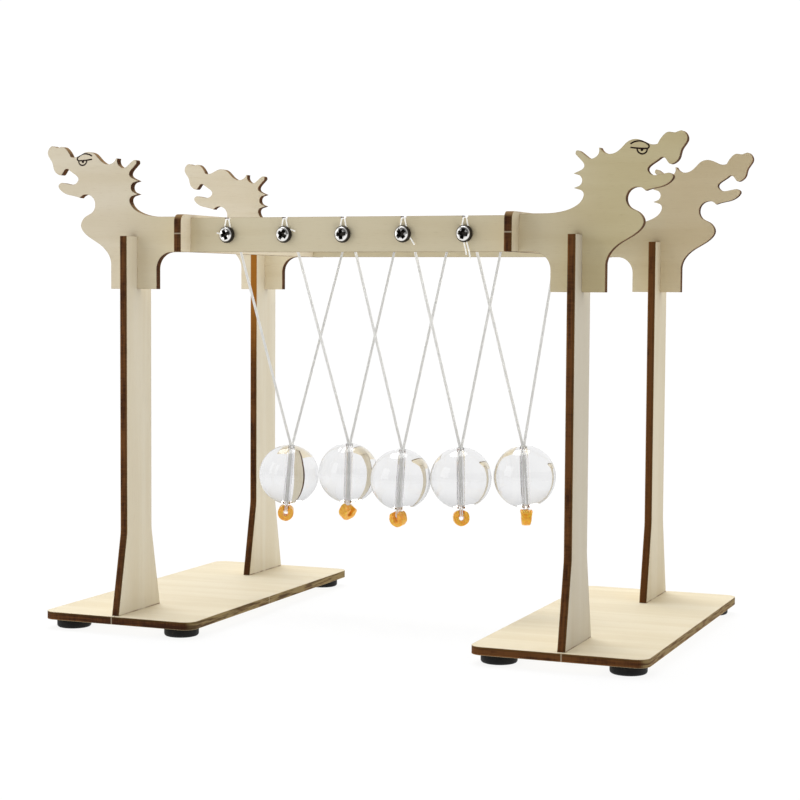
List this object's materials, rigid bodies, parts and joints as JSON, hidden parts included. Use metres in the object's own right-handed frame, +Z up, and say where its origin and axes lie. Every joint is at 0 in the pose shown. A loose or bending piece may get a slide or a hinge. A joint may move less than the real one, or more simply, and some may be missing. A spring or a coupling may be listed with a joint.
{
  "type": "newtons cradle",
  "caption": "Desktop Newton's cradle: laser-cut plywood frame with dragon-head rails, clear beads hung on V-shaped nylon strings with orange tube stoppers, on rubber feet.",
  "frame": {"origin": "on the table, in the middle of the rubber feet", "axes": "+X along the rails, +Y from the front rail to the rear rail, +Z up"},
  "size_m": [0.2118, 0.123, 0.1557],
  "materials": {
    "plywood": "sanded birch plywood with laser-burnt brown edges",
    "clear_acrylic": "clear polished bead",
    "orange_rubber": "satin soft tube",
    "nylon_line": "thin translucent line",
    "black_rubber": "matt moulded foot",
    "bright_steel": "bright nickel-plated pan head"
  },
  "bodies": {
    "frame": {"base_plate_left": "plywood", "base_plate_right": "plywood", "cross_piece_left": "plywood", "cross_piece_right": "plywood", "front_rail": "plywood", "front_screws": "bright_steel", "post_left_front": "plywood", "post_left_rear": "plywood", "post_right_front": "plywood", "post_right_rear": "plywood", "rear_rail": "plywood", "rear_screws": "bright_steel", "rubber_foot_left_front_inner": "black_rubber", "rubber_foot_left_front_outer": "black_rubber", "rubber_foot_left_rear_inner": "black_rubber", "rubber_foot_left_rear_outer": "black_rubber", "rubber_foot_right_front_inner": "black_rubber", "rubber_foot_right_front_outer": "black_rubber", "rubber_foot_right_rear_inner": "black_rubber", "rubber_foot_right_rear_outer": "black_rubber", "string_1_front_end": "nylon_line", "string_1_rear_end": "nylon_line", "string_2_front_end": "nylon_line", "string_2_rear_end": "nylon_line", "string_3_front_end": "nylon_line", "string_3_rear_end": "nylon_line", "string_4_front_end": "nylon_line", "string_4_rear_end": "nylon_line", "string_5_front_end": "nylon_line", "string_5_rear_end": "nylon_line"},
    "pendulum_1": {"ball_1": "clear_acrylic", "stopper_1": "orange_rubber", "string_1": "nylon_line"},
    "pendulum_2": {"ball_2": "clear_acrylic", "stopper_2": "orange_rubber", "string_2": "nylon_line"},
    "pendulum_3": {"ball_3": "clear_acrylic", "stopper_3": "orange_rubber", "string_3": "nylon_line"},
    "pendulum_4": {"ball_4": "clear_acrylic", "stopper_4": "orange_rubber", "string_4": "nylon_line"},
    "pendulum_5": {"ball_5": "clear_acrylic", "stopper_5": "orange_rubber", "string_5": "nylon_line"}
  },
  "joints": [
    {"name": "swing_1", "type": "hinge", "parent": "frame", "child": "pendulum_1", "pos_m": [-0.0396, 0, 0.1315], "axis": [0.0133, 0.9999, 0], "range_deg": [0, 48]},
    {"name": "swing_2", "type": "hinge", "parent": "frame", "child": "pendulum_2", "pos_m": [-0.0198, 0, 0.1315], "axis": [0.0133, 0.9999, 0], "range_deg": [-0.37, 0.62]},
    {"name": "swing_3", "type": "hinge", "parent": "frame", "child": "pendulum_3", "pos_m": [0, 0, 0.1315], "axis": [0.0133, 0.9999, 0], "range_deg": [-0.24, 0.37]},
    {"name": "swing_4", "type": "hinge", "parent": "frame", "child": "pendulum_4", "pos_m": [0.0198, 0, 0.1315], "axis": [0.0133, 0.9999, 0], "range_deg": [-1.09, 0.24]},
    {"name": "swing_5", "type": "hinge", "parent": "frame", "child": "pendulum_5", "pos_m": [0.0396, 0, 0.1315], "axis": [-0.0133, -0.9999, 0], "range_deg": [0, 48]}
  ]
}
